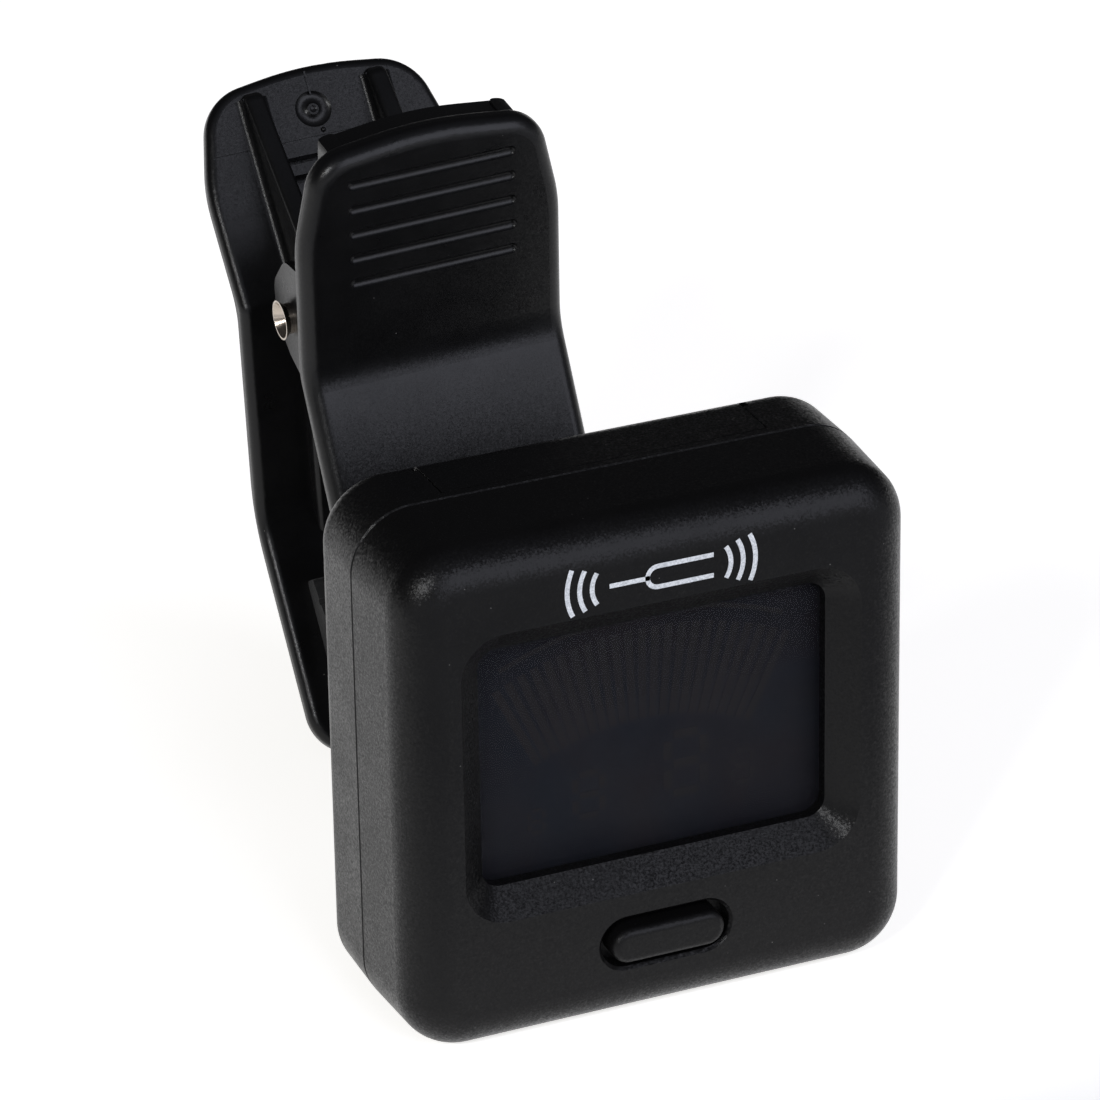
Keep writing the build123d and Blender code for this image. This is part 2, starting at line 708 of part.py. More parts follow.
def lever_grooves():
    """The round-bottomed finger grooves across the front lever."""
    plane = lever_plane(LEVER_BEND, LEVER_ANGLE)
    half = GROOVE_LENGTH / 2 - GROOVE_RADIUS
    channel = Rot(0, 90, 0) * Cylinder(GROOVE_RADIUS, 2 * half)
    channel += Pos(half, 0, 0) * Sphere(GROOVE_RADIUS)
    channel += Pos(-half, 0, 0) * Sphere(GROOVE_RADIUS)
    rows = [GROOVE_FIRST + GROOVE_PITCH * i for i in range(GROOVE_COUNT)]
    return [plane * Pos(0, row, GROOVE_RADIUS - GROOVE_DEPTH) * channel for row in rows]


def front_jaw():
    angles = (LOWER_ANGLE, LEVER_ANGLE)
    lengths = (LOWER_LENGTH, LEVER_LENGTH)
    jaw = jaw_plate(FRONT_FACE, 1, angles, lengths, front_outline(), (4, 5), (4, 4))
    jaw += top_wall()
    jaw += both_sides(front_rib())
    jaw += both_sides(front_ear())
    jaw -= hinge_rod(RIVET_RADIUS, -JAW_WIDTH, JAW_WIDTH)
    jaw -= arm_place() * rod(STEM_RADIUS + FREE, ARM_LENGTH - 2, ARM_LENGTH + 6)
    for groove in lever_grooves():
        jaw -= groove
    return jaw


def rear_rib():
    """The rear jaw's rib: a long gusset on the lever, the hinge ear, and a low rib down the jaw."""
    points = [
        rear_inward(REAR_HANDLE_LENGTH - 1.4, 1.4),
        rear_inward(REAR_HANDLE_LENGTH - 1.4, 3.4),
        rear_inward(2.0, 7.6),
        (HINGE[0] - 0.5, HINGE[1] + 3.3),
        (HINGE[0] - 3.1, HINGE[1] + 0.3),
        (HINGE[0] - 0.2, HINGE[1] - 3.3),
        (55.9, 9.5),
        (56.2, -4.2),
        (57.8, -5.0),
        (58.2, 16.0),
    ]
    radii = [0, 1.2, 3, 2.2, 2.2, 2.2, 3, 0.9, 0, 0]
    rib = side_plate(points, REAR_EAR_INNER, REAR_EAR_OUTER, radii)
    rims = [edge for edge in rib.edges() if abs((edge % 0.5).X) < 0.01]
    return fillet(rims, RIB_ROUND)


def rib_foot():
    """The hollow-sided foot of the rear handle's rib."""
    middle = (REAR_EAR_INNER + REAR_EAR_OUTER) / 2
    half = (REAR_EAR_OUTER - REAR_EAR_INNER) / 2
    section = Pos(0, FOOT_RADIUS / 2 - 0.2) * Rectangle(2 * (half + FOOT_RADIUS), FOOT_RADIUS + 0.4)
    for way in (-1, 1):
        section -= Pos(way * (half + FOOT_RADIUS), FOOT_RADIUS) * Circle(FOOT_RADIUS - 0.01)
    y, z = direction(REAR_HANDLE_ANGLE)
    start = rear_inward(1.0, JAW_THICKNESS)
    plane = Plane(origin=(0, *start), x_dir=(-1, 0, 0), z_dir=(0, y, z))
    return extrude(plane * Pos(-middle, 0) * section, amount=REAR_HANDLE_LENGTH - 2.8)


def on_handle(distance):
    """The plane of the rear handle's inner face at a distance up it, normal towards -Y."""
    y, z = direction(REAR_HANDLE_ANGLE)
    return Plane(origin=(0, *rear_inward(distance, JAW_THICKNESS)), x_dir=(1, 0, 0), z_dir=(0, -z, y))


def handle_marks():
    """Mould marks cut into the rear handle: a ring, two slots between the ribs and a fine step line."""
    ring = on_handle(14.2) * Pos(RING_X, 0, 0.6) * Torus(1.0, 0.8)
    dimple = on_handle(14.2) * Pos(RING_X, 0, 0.52) * Sphere(0.6)
    slots = [
        extrude(on_handle(s) * Rectangle(2 * REAR_EAR_INNER - 0.6, w), amount=1.8, both=True)
        for s, w in ((10.3, 0.6), (8.7, 0.8))
    ]
    step = extrude(on_handle(11.9) * Rectangle(JAW_WIDTH - 2.4, 0.14), amount=0.12, both=True)
    return [ring, dimple, *slots, step]


def mould_line():
    """The fine raised line from the rear handle's top edge to its ring, and a small gate bump below it."""
    line = extrude(on_handle(16.4) * Pos(RING_X + 0.1, 0) * Rectangle(0.16, 2.0), amount=0.07, both=True)
    return line + on_handle(12.35) * Pos(RING_X + 0.35, 0) * Sphere(0.22)


def rear_jaw():
    angles = (REAR_TIP_ANGLE, REAR_HANDLE_ANGLE)
    lengths = (REAR_TIP_LENGTH, REAR_HANDLE_LENGTH)
    jaw = jaw_plate(REAR_FACE, -1, angles, lengths, rear_outline(), (12, 3.5), (6, 1.2))
    for mark in handle_marks():
        jaw -= mark
    jaw += mould_line()
    jaw += both_sides(rib_foot())
    jaw += both_sides(rear_rib())
    jaw += both_sides(hinge_rod(2.4, REAR_EAR_OUTER - 0.1, EAR_INNER - 0.1))
    return jaw - hinge_rod(RIVET_RADIUS + FREE, -JAW_WIDTH, JAW_WIDTH)


def hinge_rivet():
    """A tubular rivet with a flared end on each side, standing a little off the ears."""
    tube = hinge_rod(RIVET_RADIUS, -FLANGE_X + 0.1, FLANGE_X - 0.1)
    flare = Rot(0, 90, 0) * Cone(RIVET_RADIUS, FLANGE_RADIUS, 0.5)
    funnel = Rot(0, 90, 0) * Cone(RIVET_BORE, FLANGE_RADIUS - 0.15, FLANGE_DEPTH)
    tube += both_sides(Pos(FLANGE_X - 0.25, *HINGE) * flare)
    tube -= hinge_rod(RIVET_BORE, -FLANGE_X - 1, FLANGE_X + 1)
    return tube - both_sides(Pos(FLANGE_X + 0.001 - FLANGE_DEPTH / 2, *HINGE) * funnel)


def tangent_point(end, turn):
    """Where a line from an outside (y, z) point touches the spring's middle circle."""
    y, z = end[0] - HINGE[0], end[1] - HINGE[1]
    far = math.hypot(y, z)
    angle = math.atan2(z, y) + turn * math.acos(SPRING_RADIUS / far)
    return HINGE[0] + SPRING_RADIUS * math.cos(angle), HINGE[1] + SPRING_RADIUS * math.sin(angle)


def spring_leg(x, end, turn):
    """A straight leg that starts inside its ring, a hair thinner than the wire so that it joins cleanly."""
    start = tangent_point(end, turn)
    run = (0, end[0] - start[0], end[1] - start[1])
    overlap = 0.4
    plane = Plane(origin=(x, *start), z_dir=run).offset(-overlap)
    return extrude(plane * Circle(0.48 * SPRING_WIRE), amount=math.hypot(*run) + overlap)


def torsion_spring():
    """A close-wound coil round the rivet, with one leg up each lever."""
    pitch = 0.96 * SPRING_WIRE
    first = -pitch * (SPRING_TURNS - 1) / 2
    ring = Plane(origin=(0, *HINGE), z_dir=(1, 0, 0)) * Torus(SPRING_RADIUS, SPRING_WIRE / 2)
    coil = Pos(first, 0, 0) * ring
    for i in range(1, SPRING_TURNS):
        coil += Pos(first + pitch * i, 0, 0) * ring
    rest = JAW_THICKNESS + SPRING_WIRE / 2 + 0.02
    coil += spring_leg(first, front_inward(12, rest), 1)
    return coil + spring_leg(-first, rear_inward(10, rest), -1)


def grip_pad(start, angle, side, low, pad_length, top_thickness, tip_thickness):
    """A rubber wedge on a jaw's inner face near its tip, with shallow cross grooves."""
    high = low + pad_length
    points = [
        inward(start, angle, low, JAW_THICKNESS, side),
        inward(start, angle, high, JAW_THICKNESS, side),
        inward(start, angle, high, JAW_THICKNESS + top_thickness, side),
        inward(start, angle, low, JAW_THICKNESS + tip_thickness, side),
    ]
    pad = side_plate(points, -PAD_HALF, PAD_HALF, [0, 0, 0.6, 1.0])
    y, z = inward(start, angle, (low + high) / 2, JAW_THICKNESS, side)
    run, rise = direction(angle)
    plane = Plane(origin=(0, y, z), x_dir=(1, 0, 0), z_dir=(0, side * rise, -side * run))
    keep = extrude(plane * RectangleRounded(2 * PAD_HALF, pad_length + 2, 1.5), amount=8, both=True)
    pad &= keep
    count = 5
    for i in range(count):
        share = (i + 1) / (count + 1)
        depth = JAW_THICKNESS + top_thickness + (tip_thickness - top_thickness) * (1 - share)
        y, z = inward(start, angle, low + pad_length * share, depth, side)
        pad -= cross_rod(0.3, -PAD_HALF - 1, PAD_HALF + 1, y, z)
    return pad


def front_pad():
    return grip_pad(RAMP_BEND, LOWER_ANGLE, 1, FRONT_PAD_LOW, FRONT_PAD_LENGTH, 2.0, 3.4)


def rear_pad():
    return grip_pad(REAR_LOW_BEND, REAR_TIP_ANGLE, -1, REAR_PAD_LOW, REAR_PAD_LENGTH, 1.6, 4.5)


# ---------------------------------------------------------------- putting it together
SWIVEL_AXIS = Axis((0, *SWIVEL_POINT), (0, *ARM_AXIS))
GRIP_POINT = (0, 43.9, -15.2)  # between the pads' tips, before the clip is turned
HEAD_PARTS = [
    front_cover,
    rear_cover,
    battery_door,
    display_lens,
    lcd_panel,
    light_guide,
    backlight_leds,
    zebra_strip,
    circuit_board,
    main_chip,
    crystal,
    smd_parts,
    tact_switch,
    switch_plunger,
    power_button,
    battery_tray,
    coin_cell,
    positive_contact,
    negative_contact,
    piezo_plate,
    piezo_ceramic,
    cover_screws,
    tilt_screw,
    tilt_nut,
    swivel_arm,
    swivel_washer,
    swivel_screw,
]
CLIP_PARTS = [front_jaw, rear_jaw, hinge_rivet, torsion_spring, front_pad, rear_pad]


def turned(shape):
    """The clip's turn on the arm."""
    return shape.rotate(SWIVEL_AXIS, SWIVEL_TURN)


def to_row():
    """The move that brings the grip point, turned with the clip, to the origin."""
    grip = turned(Vertex(*GRIP_POINT)).center()
    return Pos(-grip.X, -grip.Y, -grip.Z)


def write_parts():
    os.makedirs("parts", exist_ok=True)
    move = to_row()
    shapes = {make.__name__: make() for make in HEAD_PARTS}
    shapes.update({make.__name__: turned(make()) for make in CLIP_PARTS})
    for name, shape in shapes.items():
        export_step(move * shape, f"parts/{name}.step")


if __name__ == "__main__":
    write_parts()
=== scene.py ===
"""A clip-on tuner: looks, small details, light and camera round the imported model."""

import json
import math

import bmesh
import bpy
from mathutils import Matrix, Vector
from mathutils.bvhtree import BVHTree


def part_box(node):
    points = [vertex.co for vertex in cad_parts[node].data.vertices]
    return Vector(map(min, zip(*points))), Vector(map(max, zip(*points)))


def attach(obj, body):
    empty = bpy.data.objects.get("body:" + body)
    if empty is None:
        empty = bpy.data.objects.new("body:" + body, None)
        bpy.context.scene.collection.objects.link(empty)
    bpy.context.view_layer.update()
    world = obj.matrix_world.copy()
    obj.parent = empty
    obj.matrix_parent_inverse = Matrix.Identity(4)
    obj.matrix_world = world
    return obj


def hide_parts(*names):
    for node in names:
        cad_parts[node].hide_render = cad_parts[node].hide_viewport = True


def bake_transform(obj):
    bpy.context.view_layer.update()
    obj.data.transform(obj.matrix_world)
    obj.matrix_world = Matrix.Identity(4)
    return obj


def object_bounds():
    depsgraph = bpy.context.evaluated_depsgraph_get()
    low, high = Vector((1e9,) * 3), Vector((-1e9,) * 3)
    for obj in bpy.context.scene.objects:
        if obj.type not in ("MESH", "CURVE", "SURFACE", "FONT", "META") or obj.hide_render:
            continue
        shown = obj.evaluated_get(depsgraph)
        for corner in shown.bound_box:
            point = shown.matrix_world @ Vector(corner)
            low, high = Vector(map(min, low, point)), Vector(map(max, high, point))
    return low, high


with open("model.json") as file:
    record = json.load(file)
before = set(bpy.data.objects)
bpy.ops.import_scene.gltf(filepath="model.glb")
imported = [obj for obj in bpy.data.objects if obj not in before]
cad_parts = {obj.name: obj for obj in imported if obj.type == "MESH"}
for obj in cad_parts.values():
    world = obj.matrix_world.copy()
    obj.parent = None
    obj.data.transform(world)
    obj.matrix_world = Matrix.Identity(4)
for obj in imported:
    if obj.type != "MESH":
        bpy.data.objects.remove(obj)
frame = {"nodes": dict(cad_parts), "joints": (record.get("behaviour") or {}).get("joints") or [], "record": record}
CAD_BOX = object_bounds()
NODES = frame["nodes"]
JOINTS = {joint["name"]: joint for joint in frame["joints"]}
MM = 0.001

# ---------------------------------------------------------------- places read from the frame
COVER_LOW, COVER_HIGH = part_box("front_cover")
HEAD_X = (COVER_LOW.x + COVER_HIGH.x) / 2
HEAD_Z = (COVER_LOW.z + COVER_HIGH.z) / 2
FRONT_Y = COVER_LOW.y
HEAD_MIDDLE = Vector((HEAD_X, FRONT_Y, HEAD_Z))
WINDOW_Z = HEAD_Z + 2.1 * MM  # the display's middle is a little above the head's
HINGE = Vector(JOINTS["clip_hinge"]["pos_m"])
HINGE_AXIS = Vector(JOINTS["clip_hinge"]["axis"]).normalized()

# ---------------------------------------------------------------- the clip's spring
COIL_RADIUS = 2.5 * MM
SPRING_WIRE = 1.1 * MM
WHOLE_TURNS = 6
LEG_REACH = 6 * MM  # only the legs reach this far from the hinge

# ---------------------------------------------------------------- camera, floor and light
CAMERA_AZIMUTH = math.radians(-22.58)  # round from straight in front
CAMERA_ELEVATION = math.radians(26.45)
CAMERA_ROLL = math.radians(-1.05)
CAMERA_DISTANCE = 469.4 * MM
CAMERA_SIDEWAYS = -8.6 * MM  # from the head's middle, across the picture
CAMERA_RAISED = 16.5 * MM
CAMERA_LENS = 205.16
SENSOR_WIDTH = 36
FLOOR_GLOW = 0.68
FLOOR_HALF = 6.0


def camera():
    """Looks from the front, above and to the left, with a long lens."""
    level = math.cos(CAMERA_ELEVATION)
    roll = CAMERA_ROLL
    height = math.sin(CAMERA_ELEVATION)
    back = Vector((math.sin(CAMERA_AZIMUTH) * level, -math.cos(CAMERA_AZIMUTH) * level, height))
    level_right = back.cross(Vector((0, 0, -1))).normalized()
    level_up = level_right.cross(-back)
    right = math.cos(roll) * level_right + math.sin(roll) * level_up
    up = math.cos(roll) * level_up - math.sin(roll) * level_right
    data = bpy.data.cameras.new("camera")
    data.lens = CAMERA_LENS
    data.sensor_width = SENSOR_WIDTH
    data.clip_start = 0.01
    data.clip_end = 20
    made = bpy.data.objects.new("camera", data)
    bpy.context.scene.collection.objects.link(made)
    place = HEAD_MIDDLE + back * CAMERA_DISTANCE + right * CAMERA_SIDEWAYS + up * CAMERA_RAISED
    turn = Matrix((right, up, back)).transposed().to_4x4()
    made.matrix_world = Matrix.Translation(place) @ turn
    bpy.context.scene.camera = made


def new_tree(name):
    """A fresh material, its node tree and its shader."""
    material = bpy.data.materials.new(name)
    material.use_nodes = True
    tree = material.node_tree
    return material, tree, tree.nodes["Principled BSDF"]


def add(tree, kind, values=None, **settings):
    """A node of that kind with its settings and input values. A value that is a socket is linked."""
    made = tree.nodes.new(kind)
    for name, value in settings.items():
        setattr(made, name, value)
    for name, value in (values or {}).items():
        if isinstance(value, bpy.types.NodeSocket):
            tree.links.new(value, made.inputs[name])
        else:
            made.inputs[name].default_value = value
    return made


def drive(tree, socket, source):
    """Link an output to an input."""
    tree.links.new(source, socket)


def places(tree):
    """Where a point lies on its own piece, so that a texture stays put when the piece moves."""
    return add(tree, "ShaderNodeTexCoord").outputs["Object"]


def vector_math(tree, operation, first, second):
    """A vector worked out from two others."""
    return add(tree, "ShaderNodeVectorMath", {0: first, 1: second}, operation=operation).outputs[0]


def likeness(tree, first, second):
    """The dot product of two directions."""
    made = add(tree, "ShaderNodeVectorMath", {0: first, 1: second}, operation="DOT_PRODUCT")
    return made.outputs["Value"]


def noise(tree, size, detail=2.0, roughness=0.5, stretch=None):
    """Soft noise, from 0 to 1, whose blobs are about that size in metres."""
    vector = places(tree)
    if stretch:
        vector = vector_math(tree, "MULTIPLY", vector, stretch)
    values = {"Vector": vector, "Scale": 1 / size, "Detail": detail, "Roughness": roughness}
    return add(tree, "ShaderNodeTexNoise", values).outputs["Fac"]


def cells(tree, size, output="Distance"):
    """Many cells of about that size: the distance to the nearest middle, or each cell's own colour."""
    values = {"Vector": places(tree), "Scale": 1 / size}
    return add(tree, "ShaderNodeTexVoronoi", values).outputs[output]


def ramp(tree, source, low, high, out_low, out_high):
    """The source, mapped from one span to another and clamped."""
    values = {"Value": source, "From Min": low, "From Max": high, "To Min": out_low, "To Max": out_high}
    return add(tree, "ShaderNodeMapRange", values).outputs["Result"]


def calculate(tree, operation, first, second):
    """A number worked out from two others."""
    return add(tree, "ShaderNodeMath", {0: first, 1: second}, operation=operation).outputs[0]


def mixed(tree, share, first, second):
    """A colour between two colours."""
    made = add(tree, "ShaderNodeMix", data_type="RGBA")
    for slot, value in (("Factor_Float", share), ("A_Color", first), ("B_Color", second)):
        socket = next(s for s in made.inputs if s.identifier == slot)
        if isinstance(value, bpy.types.NodeSocket):
            tree.links.new(value, socket)
        else:
            socket.default_value = value
    return next(s for s in made.outputs if s.identifier == "Result_Color")


def shade(colour, factor):
    """A colour made lighter or darker."""
    return tuple(min(1.0, channel * factor) for channel in colour[:3]) + (1.0,)


def bump(tree, height, depth, strength=1.0):
    """The normal of a relief whose full height is that depth."""
    values = {"Height": height, "Distance": depth, "Strength": strength}
    return add(tree, "ShaderNodeBump", values).outputs["Normal"]


def edges(tree, width):
    """1 on sharp edges, fading to 0 within that width."""
    soft = add(tree, "ShaderNodeBevel", {"Radius": width}, samples=4).outputs["Normal"]
    flat = add(tree, "ShaderNodeNewGeometry").outputs["Normal"]
    return ramp(tree, likeness(tree, soft, flat), 0.985, 0.80, 0.0, 1.0)


def tipped(tree, random_vector, tilt, normal):
    """The normal, tipped by a random vector whose channels run from 0 to 1."""
    middle = vector_math(tree, "SUBTRACT", random_vector, (0.5, 0.5, 0.5))
    tip = vector_math(tree, "MULTIPLY", middle, (tilt, tilt, tilt))
    both = vector_math(tree, "ADD", normal, tip)
    return add(tree, "ShaderNodeVectorMath", {0: both}, operation="NORMALIZE").outputs[0]


def sparkling(tree, grain, sparkle, lumps, normal):
    """A normal that glints: tiny flat facets over soft lumps a little larger."""
    facet = cells(tree, grain, "Color")
    lump_values = {"Vector": places(tree), "Scale": 0.5 / grain, "Detail": 2.0}
    lump = add(tree, "ShaderNodeTexNoise", lump_values).outputs["Color"]
    return tipped(tree, facet, sparkle, tipped(tree, lump, lumps, normal))


def moulded(name, colour, roughness, specular, sparkle, lumps, relief):
    """Moulded plastic: fine texture, mottled shine, paler rubbed edges and specks of dust.

    Sparkle and lumps say how far the facets and the lumps tip the surface, and relief how deep its grain is.
    """
    material, tree, shader = new_tree(name)
    grain = 0.1 * MM
    worn = 0.5
    dust = 0.35
    height = calculate(tree, "ADD", cells(tree, grain), noise(tree, grain * 2.5, 2.0, 0.5))
    normal = sparkling(tree, grain, sparkle, lumps, bump(tree, height, relief))
    drive(tree, shader.inputs["Normal"], normal)
    mottle = noise(tree, 5 * MM, 4.0, 0.65)
    patchy = ramp(tree, noise(tree, 0.9 * MM), 0.35, 0.7, 0, worn)
    rubbed = calculate(tree, "MULTIPLY", edges(tree, 0.25 * MM), patchy)
    speck = ramp(tree, cells(tree, 1.7 * MM), 0.018, 0.03, dust, 0.0)
    base = mixed(tree, mottle, shade(colour, 0.8), shade(colour, 1.25))
    base = mixed(tree, rubbed, base, shade(colour, 3.2))
    base = mixed(tree, speck, base, (0.35, 0.34, 0.32, 1))
    drive(tree, shader.inputs["Base Color"], base)
    polish = ramp(tree, mottle, 0.3, 0.7, roughness - 0.04, roughness + 0.05)
    polish = calculate(tree, "SUBTRACT", polish, calculate(tree, "MULTIPLY", rubbed, 0.12))
    drive(tree, shader.inputs["Roughness"], polish)
    shader.inputs["Specular IOR Level"].default_value = specular
    return material


def metal(name, colour, roughness, streaks, tarnish=0.25, depth=0.0015 * MM):
    """Metal with fine drawn or brushed streaks and slight tarnish."""
    material, tree, shader = new_tree(name)
    lines = noise(tree, 0.12 * MM, 3.0, 0.7, streaks)
    stain = noise(tree, 1.4 * MM, 4.0, 0.6)
    drive(tree, shader.inputs["Normal"], bump(tree, lines, depth))
    dull = ramp(tree, stain, 0.45, 0.75, 0.0, tarnish)
    drive(tree, shader.inputs["Base Color"], mixed(tree, dull, colour + (1,), shade(colour, 0.45)))
    shine = ramp(tree, lines, 0.2, 0.8, roughness * 0.8, roughness * 1.3)
    shine = calculate(tree, "ADD", shine, calculate(tree, "MULTIPLY", dull, 0.5))
    drive(tree, shader.inputs["Roughness"], shine)
    shader.inputs["Metallic"].default_value = 1.0
    return material


def rubber(name, colour):
    """Soft dull rubber with a powdery bloom."""
    material, tree, shader = new_tree(name)
    pores = calculate(tree, "ADD", noise(tree, 0.12 * MM, 3.0, 0.7), cells(tree, 0.3 * MM))
    drive(tree, shader.inputs["Normal"], bump(tree, pores, 0.02 * MM))
    bloom = ramp(tree, noise(tree, 2.2 * MM, 5.0, 0.7), 0.4, 0.75, 0.0, 0.6)
    drive(tree, shader.inputs["Base Color"], mixed(tree, bloom, colour + (1,), shade(colour, 2.2)))
    drive(tree, shader.inputs["Roughness"], ramp(tree, bloom, 0, 0.6, 0.62, 0.8))
    shader.inputs["Specular IOR Level"].default_value = 0.3
    shader.inputs["Sheen Weight"].default_value = 0.08
    return material


def clear_window():
    """Thin clear acrylic: it lets most light through and mirrors the rest, with faint smears."""
    material, tree, shader = new_tree("lens_acrylic")
    smear = noise(tree, 4 * MM, 3.0, 0.6, (1.0, 1.0, 0.35))
    drive(tree, shader.inputs["Roughness"], ramp(tree, smear, 0.4, 0.75, 0.035, 0.11))
    haze = ramp(tree, noise(tree, 6 * MM, 2.0), 0.3, 0.8, 0.0, 1.0)
    tint = mixed(tree, haze, (0.012, 0.013, 0.018, 1), (0.018, 0.018, 0.022, 1))
    speck = ramp(tree, cells(tree, 2.9 * MM), 0.012, 0.018, 0.35, 0.0)
    drive(tree, shader.inputs["Base Color"], mixed(tree, speck, tint, (0.25, 0.25, 0.25, 1)))
    drive(tree, shader.inputs["Alpha"], ramp(tree, speck, 0.0, 0.35, 0.22, 0.4))
    drive(tree, shader.inputs["Normal"], bump(tree, noise(tree, 9 * MM, 1.0), 0.02 * MM, 0.4))
    shader.inputs["Specular IOR Level"].default_value = 0.06
    return material


def display_glass():
    """The display's dark polariser with a faint blue and brown cast."""
    material, tree, shader = new_tree("lcd_glass")
    cast = ramp(tree, noise(tree, 9 * MM, 3.0), 0.3, 0.7, 0.0, 1.0)
    glass = mixed(tree, cast, (0.012, 0.009, 0.009, 1), (0.006, 0.009, 0.013, 1))
    drive(tree, shader.inputs["Base Color"], glass)
    fine = noise(tree, 0.06 * MM, 2.0)
    drive(tree, shader.inputs["Normal"], bump(tree, fine, 0.001 * MM))
    drive(tree, shader.inputs["Roughness"], ramp(tree, noise(tree, 3 * MM), 0.3, 0.7, 0.40, 0.48))
    shader.inputs["Specular IOR Level"].default_value = 0.1
    return material


def segment_film():
    """An unlit display segment: barely paler and warmer than the glass round it."""
    material, tree, shader = new_tree("segment_film")
    cloud = noise(tree, 2 * MM, 3.0)
    film = mixed(tree, cloud, (0.0150, 0.0135, 0.0120, 1), (0.0180, 0.0155, 0.0135, 1))
    drive(tree, shader.inputs["Base Color"], film)
    drive(tree, shader.inputs["Roughness"], ramp(tree, cloud, 0.3, 0.7, 0.42, 0.48))
    drive(tree, shader.inputs["Normal"], bump(tree, noise(tree, 0.08 * MM), 0.001 * MM))
    shader.inputs["Specular IOR Level"].default_value = 0.12
    return material


def silver_print():
    """Screen-printed silver ink: slightly uneven, with the plastic's texture showing through."""
    material, tree, shader = new_tree("silver_print")
    speckle = noise(tree, 0.16 * MM, 3.0, 0.7)
    ink = mixed(tree, ramp(tree, speckle, 0.35, 0.65, 0, 1), (0.42, 0.44, 0.46, 1), (0.68, 0.70, 0.72, 1))
    drive(tree, shader.inputs["Base Color"], ink)
    drive(tree, shader.inputs["Roughness"], ramp(tree, speckle, 0.3, 0.7, 0.42, 0.6))
    drive(tree, shader.inputs["Normal"], bump(tree, speckle, 0.012 * MM))
    shader.inputs["Metallic"].default_value = 0.25
    return material


def tinted(name, colour, roughness, mottle_size, depth, specular=0.5, contrast=0.25):
    """A plain coated or moulded inner surface, with mottled colour and shine."""
    material, tree, shader = new_tree(name)
    cloud = noise(tree, mottle_size, 4.0, 0.6)
    drive(tree, shader.inputs["Base Color"],
          mixed(tree, cloud, shade(colour, 1 - contrast), shade(colour, 1 + contrast)))
    drive(tree, shader.inputs["Roughness"], ramp(tree, cloud, 0.3, 0.7, roughness * 0.85, roughness * 1.15))
    drive(tree, shader.inputs["Normal"], bump(tree, noise(tree, mottle_size / 8, 2.0), depth))
    shader.inputs["Specular IOR Level"].default_value = specular
    return material


def solder_mask():
    """A green board with copper tracks showing through the mask."""
    material, tree, shader = new_tree("board")
    values = {"Vector": places(tree), "Scale": 260.0, "Mortar Size": 0.03, "Mortar Smooth": 0.2}
    line = add(tree, "ShaderNodeTexBrick", values).outputs["Fac"]
    cloud = noise(tree, 4 * MM, 3.0)
    mask = mixed(tree, cloud, (0.010, 0.085, 0.030, 1), (0.016, 0.13, 0.045, 1))
    drive(tree, shader.inputs["Base Color"], mixed(tree, line, mask, (0.05, 0.24, 0.07, 1)))
    drive(tree, shader.inputs["Roughness"], ramp(tree, cloud, 0.3, 0.7, 0.22, 0.34))
    drive(tree, shader.inputs["Normal"], bump(tree, line, 0.02 * MM))
    return material


def striped_rubber():
    """Conductive and plain layers, stacked a tenth of a millimetre apart."""
    material, tree, shader = new_tree("zebra_rubber")
    values = {"Vector": places(tree), "Scale": 900.0, "Distortion": 0.4}
    stripes = add(tree, "ShaderNodeTexWave", values, bands_direction="X").outputs["Fac"]
    layers = ramp(tree, stripes, 0.35, 0.65, 0, 1)
    colour = mixed(tree, layers, (0.02, 0.02, 0.02, 1), (0.35, 0.36, 0.40, 1))
    drive(tree, shader.inputs["Base Color"], colour)
    drive(tree, shader.inputs["Roughness"], ramp(tree, noise(tree, 0.4 * MM), 0.3, 0.7, 0.55, 0.7))
    drive(tree, shader.inputs["Normal"], bump(tree, stripes, 0.004 * MM))
    return material


def floor_paint_and_glow():
    """Pale paint with a faint painted glow that lights the floor itself and washes out shadows, except on the
    stretch that the head's front mirrors, which has no glow.
    """
    material, tree, shader = new_tree("floor_paint_and_glow")
    cloud = noise(tree, 0.05, 3.0)
    paint = mixed(tree, cloud, (0.90, 0.90, 0.895, 1), (0.92, 0.92, 0.915, 1))
    drive(tree, shader.inputs["Base Color"], paint)
    shader.inputs["Roughness"].default_value = 0.9
    shader.inputs["Specular IOR Level"].default_value = 0.1
    # painted glow: the floor gives off light of its own, so it stays white without shadows; there is none on the
    # stretch in front that the head's front mirrors
    shader.inputs["Emission Color"].default_value = (1.0, 0.985, 0.95, 1)
    forward = add(tree, "ShaderNodeSeparateXYZ", {0: places(tree)}).outputs["Y"]
    near = ramp(tree, forward, FRONT_Y - 50 * MM, FRONT_Y - 8 * MM, 0.0, FLOOR_GLOW)
    far = ramp(tree, forward, FRONT_Y - 600 * MM, FRONT_Y - 260 * MM, FLOOR_GLOW, 0.0)
    drive(tree, shader.inputs["Emission Strength"], calculate(tree, "ADD", near, far))
    return material


def floor():
    """A wide pale floor that the head stands on."""
    level = CAD_BOX[0].z
    mesh = bpy.data.meshes.new("floor")
    corners = [(x * FLOOR_HALF, y * FLOOR_HALF, level) for x, y in ((-1, -1), (1, -1), (1, 1), (-1, 1))]
    mesh.from_pydata(corners, [], [(0, 1, 2, 3)])
    made = bpy.data.objects.new("floor", mesh)
    mesh.materials.append(floor_paint_and_glow())
    bpy.context.scene.collection.objects.link(made)


def softbox(name, direction, distance, width, height, radiance, colour):
    """A soft rectangular light that faces the head."""
    data = bpy.data.lights.new(name, "AREA")
    data.shape = "RECTANGLE"
    data.size = width
    data.size_y = height
    data.energy = radiance * math.pi * width * height
    data.color = colour
    made = bpy.data.objects.new(name, data)
    bpy.context.scene.collection.objects.link(made)
    away = Vector(direction).normalized()
    made.location = HEAD_MIDDLE + away * distance
    made.rotation_mode = "QUATERNION"
    made.rotation_quaternion = away.to_track_quat("Z", "Y")


